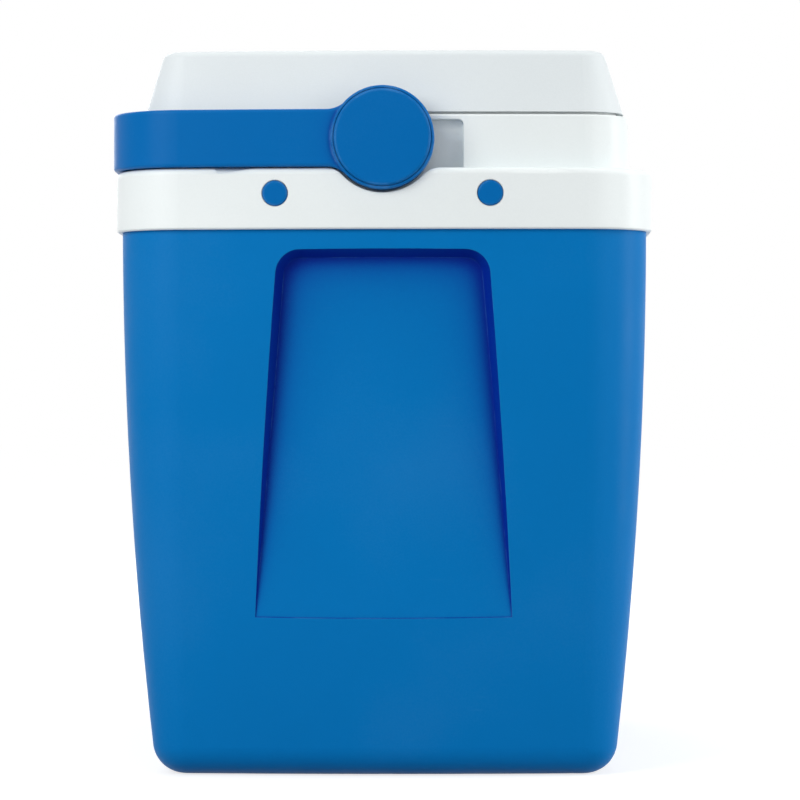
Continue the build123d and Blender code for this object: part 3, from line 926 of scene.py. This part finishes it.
def pad_surface(low, high, shape):
    """The pad's top as a height over a grid, and its flat base. Near a corner the grid is drawn in so that
    its rim is the corner's arc: with a and b the shares of the corner's radius gone along X and Y, each is
    scaled by the root of one less half the other's square. At the rim the height falls as a quarter circle,
    the middle is crowned by a product of cosines, and near a slit's line it sinks into the slit."""
    half_x, half_y, _ = (high - low) / 2
    centres_x = slit_centres(2 * half_x, shape.slit_pitch_x, shape)
    centres_y = slit_centres(2 * half_y, shape.slit_pitch_y, shape)
    grid_step, lip_slope = 0.0024, 3.6
    lines_x = grid_lines(half_x, centres_x, shape, grid_step)
    lines_y = grid_lines(half_y, centres_y, shape, grid_step)
    x, y = np.meshgrid(lines_x, lines_y, indexing="ij")
    share_x = np.clip((np.abs(x) - half_x) / shape.corner + 1, 0, 1)
    share_y = np.clip((np.abs(y) - half_y) / shape.corner + 1, 0, 1)
    drawn_x = np.sign(x) * (np.abs(x) - shape.corner * share_x * (1 - np.sqrt(1 - share_y**2 / 2)))
    drawn_y = np.sign(y) * (np.abs(y) - shape.corner * share_y * (1 - np.sqrt(1 - share_x**2 / 2)))
    to_rim = np.minimum(half_x - np.abs(x), half_y - np.abs(y))
    rolled = np.clip(1 - to_rim / shape.edge_radius, 0, 1)
    fall = shape.edge_radius * (1 - np.sqrt(1 - rolled**2))
    crown = shape.crown * (np.cos(np.pi * x / half_x / 2) * np.cos(np.pi * y / half_y / 2) - 1)
    from_x = np.min(np.abs(x[..., None] - centres_x), axis=-1)
    from_y = np.min(np.abs(y[..., None] - centres_y), axis=-1)
    reach = shape.slit_length / 2 + 1e-6
    line_x = np.clip(lip_slope * (0.5 - from_y / shape.slit_width), 0, 1) * (from_x <= reach)
    line_y = np.clip(lip_slope * (0.5 - from_x / shape.slit_width), 0, 1) * (from_y <= reach)
    height = high[2] - fall + crown - np.maximum(line_x, line_y) * shape.slit_depth
    middle = (high + low) / 2
    top = np.stack([drawn_x + middle[0], drawn_y + middle[1], height], 2)
    base = top.copy()
    base[..., 2] = low[2]
    return top, base


def closed_pad(top, base):
    """Points and quads of the pad: its top, its base turned over, and walls between their rims."""
    rows, columns = top.shape[:2]
    count = rows * columns
    upper = grid_quads(rows, columns)
    lower = upper[:, ::-1] + count
    index = np.arange(count).reshape(rows, columns)
    rim = np.concatenate([index[:, 0], index[-1, 1:], index[-2::-1, -1], index[0, -2:0:-1]])
    after = np.roll(rim, -1)
    walls = np.stack([after, rim, rim + count, after + count], 1)
    return np.concatenate([top.reshape(-1, 3), base.reshape(-1, 3)]), np.concatenate([upper, lower, walls])


# ---------------------------------------------------------------- operators, one for each group of pieces


class CARRIER_OT_shell(bpy.types.Operator):
    """Give the tapered shell its satin blue finish"""

    bl_idname = "carrier.shell"
    bl_label = "Shell"

    def execute(self, context):
        finish_nodes(shell_blue(), "outer_shell")
        return {"FINISHED"}


class CARRIER_OT_collar(bpy.types.Operator):
    """Give the collar its white finish"""

    bl_idname = "carrier.collar"
    bl_label = "Collar"

    def execute(self, context):
        finish_nodes(collar_white(), "collar")
        return {"FINISHED"}


class CARRIER_OT_handle(bpy.types.Operator):
    """Finish the handle, its hub caps and the four plugs in the same blue"""

    bl_idname = "carrier.handle"
    bl_label = "Handle, Caps and Plugs"

    def execute(self, context):
        finish_nodes(handle_blue(), "handle", *nodes_named("pivot_cap"), *nodes_named("plug"))
        return {"FINISHED"}


class CARRIER_OT_pins(bpy.types.Operator):
    """Finish the pivot pins"""

    bl_idname = "carrier.pins"
    bl_label = "Pivot Pins"

    def execute(self, context):
        finish_nodes(pin_grey(), *nodes_named("pivot_pin"))
        return {"FINISHED"}


class CARRIER_OT_lid(bpy.types.Operator):
    """Finish the lid's shell"""

    bl_idname = "carrier.lid"
    bl_label = "Lid"

    def execute(self, context):
        finish_nodes(lid_white(), "lid_shell")
        return {"FINISHED"}


class CARRIER_OT_liner(bpy.types.Operator):
    """Finish the inner liner and the lid's tray"""

    bl_idname = "carrier.liner"
    bl_label = "Liner and Tray"

    def execute(self, context):
        finish_nodes(liner_white(), "inner_liner", "lid_tray")
        return {"FINISHED"}


class CARRIER_OT_insulation(bpy.types.Operator):
    """Finish the rigid foam in the body and in the lid"""

    bl_idname = "carrier.insulation"
    bl_label = "Insulation"

    def execute(self, context):
        finish_nodes(insulation_foam(), "body_insulation", "lid_insulation")
        return {"FINISHED"}


class CARRIER_OT_packs(bpy.types.Operator):
    """Finish the coolant packs and their screw caps"""

    bl_idname = "carrier.packs"
    bl_label = "Coolant Packs"

    def execute(self, context):
        finish_nodes(pack_milky(), *nodes_named("coolant_pack"))
        finish_nodes(cap_blue(), *nodes_named("pack_cap"))
        return {"FINISHED"}


class CARRIER_OT_seal(bpy.types.Operator):
    """Make the lid's soft seal, a strip with lips that follows the lid"""

    bl_idname = "carrier.seal"
    bl_label = "Seal"

    def execute(self, context):
        low, high = (np.array(corner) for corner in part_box("lid_seal"))
        points = seal_surface(low, high, context.scene.carrier_seal)
        faces = grid_quads(*points.shape[:2], close_rows=True, close_columns=True)
        seal = mesh_piece("soft_seal", points, faces, seal_rubber())
        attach(seal, "lid")
        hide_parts("lid_seal")
        return {"FINISHED"}


class CARRIER_OT_pad(bpy.types.Operator):
    """Make the soft vial pad with its crossed slits"""

    bl_idname = "carrier.pad"
    bl_label = "Vial Pad"

    def execute(self, context):
        low, high = (np.array(corner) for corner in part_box("vial_pad"))
        points, faces = closed_pad(*pad_surface(low, high, context.scene.carrier_pad))
        pad = mesh_piece("soft_vial_pad", points, faces, pad_foam())
        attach(pad, "body")
        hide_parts("vial_pad")
        return {"FINISHED"}


def soft_box(name, place, aim, width, height, power):
    """A rectangular area light at a place, pointing at another."""
    lamp = bpy.data.lights.new(name, "AREA")
    lamp.shape = "RECTANGLE"
    lamp.size = width
    lamp.size_y = height
    lamp.energy = power
    holder = bpy.data.objects.new(name, lamp)
    holder.location = place
    across, along, down = np.array(aim) - np.array(place)
    holder.rotation_euler = (math.atan2(math.hypot(across, along), -down), 0, math.atan2(-across, along))
    bpy.context.scene.collection.objects.link(holder)


def seen_directly(tree):
    """One for camera, glossy and transmission rays, which show the background, and nought for the rest."""
    rays = node(tree, "LightPath")
    seen = maths(tree, "MAXIMUM", rays.outputs["Is Camera Ray"], rays.outputs["Is Glossy Ray"])
    return maths(tree, "MAXIMUM", seen, rays.outputs["Is Transmission Ray"])


class CARRIER_OT_stage(bpy.types.Operator):
    """Set the floor, the soft light and the camera"""

    bl_idname = "carrier.stage"
    bl_label = "Stage"

    def execute(self, context):
        setup = context.scene.carrier_stage
        context.scene.view_settings.view_transform = "Standard"
        self.make_floor(setup)
        self.make_room(context.scene, setup)
        self.make_lights(setup)
        self.make_camera(context.scene, setup)
        return {"FINISHED"}

    def make_floor(self, setup):
        """A wide disc just under the carrier: each point is a radius times the cosine and sine of its turn.
        Its paper keeps the shadow, and white is added where it is seen, more of it further out."""
        sides, depth, paper_grey = 96, 0.0002, 0.45
        near, far = 0.3, 1.5
        turn = np.linspace(0, 2 * np.pi, sides, endpoint=False)
        radius = np.array([0.001, 0.4, 1.2, 4.0, 12.0])[:, None]
        across, along = radius * np.cos(turn), radius * np.sin(turn)
        points = np.stack([across, along, np.full_like(across, -depth)], 2)
        material = bpy.data.materials.new("studio_floor")
        material.use_nodes = True
        tree = material.node_tree
        tree.nodes.remove(tree.nodes["Principled BSDF"])
        paper = feed(tree, node(tree, "BsdfDiffuse"), Color=(paper_grey, paper_grey, paper_grey, 1))
        away = feed(tree, node(tree, "VectorMath", operation="LENGTH"), _0=object_place(tree))
        far_white = 1.0 - paper_grey * setup.ambient
        white = ramp(tree, away.outputs["Value"], near, far, setup.floor_white, far_white)
        seen_white = maths(tree, "MULTIPLY", seen_directly(tree), white)
        glow = feed(tree, node(tree, "Emission"), Strength=seen_white)
        both = feed(tree, node(tree, "AddShader"), _0=paper.outputs[0], _1=glow.outputs[0])
        feed(tree, tree.nodes["Material Output"], Surface=both.outputs[0])
        faces = grid_quads(*across.shape, close_columns=True)
        mesh_piece("studio_floor", points, faces, material)

    def make_room(self, scene, setup):
        """Even room light, and plain white where the camera or a reflection looks past the carrier."""
        world = bpy.data.worlds.new("studio_room")
        world.use_nodes = True
        scene.world = world
        tree = world.node_tree
        strength = maths(tree, "MULTIPLY_ADD", seen_directly(tree), 1.0 - setup.ambient, setup.ambient)
        feed(tree, tree.nodes["Background"], Color=(1, 1, 1, 1), Strength=strength)

    def make_lights(self, setup):
        """Five soft boxes round the carrier."""
        middle = (0.0, 0.0, 0.22)
        soft_box("key_light", (-1.05, -1.35, 1.0), middle, width=1.0, height=1.0, power=setup.key_power)
        soft_box("fill_light", (1.5, -1.6, 0.7), middle, width=1.0, height=1.4, power=setup.fill_power)
        soft_box("top_light", (0.0, 0.1, 1.9), middle, width=1.4, height=1.4, power=setup.top_power)
        soft_box("side_light", (1.5, -0.1, 0.6), middle, width=0.4, height=1.4, power=setup.side_power)
        soft_box("back_light", (-0.7, 2.0, 1.1), middle, width=1.3, height=1.3, power=setup.back_power)

    def make_camera(self, scene, setup):
        """A level camera, turned a little to its left and about its view line."""
        camera = bpy.data.cameras.new("studio_camera")
        camera.sensor_width = 36.0
        camera.lens = setup.lens
        holder = bpy.data.objects.new("studio_camera", camera)
        holder.location = setup.camera_place
        holder.rotation_euler = (math.pi / 2, setup.camera_roll, setup.camera_turn)
        scene.collection.objects.link(holder)
        scene.camera = holder


steps = (
    CARRIER_OT_shell,
    CARRIER_OT_collar,
    CARRIER_OT_handle,
    CARRIER_OT_pins,
    CARRIER_OT_lid,
    CARRIER_OT_liner,
    CARRIER_OT_insulation,
    CARRIER_OT_packs,
    CARRIER_OT_seal,
    CARRIER_OT_pad,
    CARRIER_OT_stage,
)


class CARRIER_PT_panel(bpy.types.Panel):
    """Buttons that dress the carrier piece by piece"""

    bl_idname = "CARRIER_PT_panel"
    bl_label = "Vaccine Carrier"
    bl_space_type = "VIEW_3D"
    bl_region_type = "UI"
    bl_category = "Carrier"

    def draw(self, context):
        for step in steps:
            self.layout.operator(step.bl_idname)


settings = {
    "carrier_colours": CarrierColours,
    "carrier_detail": SurfaceDetail,
    "carrier_pad": PadShape,
    "carrier_seal": SealShape,
    "carrier_stage": StageSetup,
}


def register():
    """Makes the classes and the scene's settings known to Blender."""
    for group in (*settings.values(), *steps, CARRIER_PT_panel):
        bpy.utils.register_class(group)
    for name, group in settings.items():
        setattr(bpy.types.Scene, name, bpy.props.PointerProperty(type=group))


def unregister():
    """Takes the settings and the classes away again."""
    for name in settings:
        delattr(bpy.types.Scene, name)
    for group in (CARRIER_PT_panel, *reversed(steps), *settings.values()):
        bpy.utils.unregister_class(group)


def main():
    """Dresses the carrier, one operator after the other."""
    register()
    for step in steps:
        family, name = step.bl_idname.split(".")
        getattr(getattr(bpy.ops, family), name)()


if __name__ == "__main__":
    main()
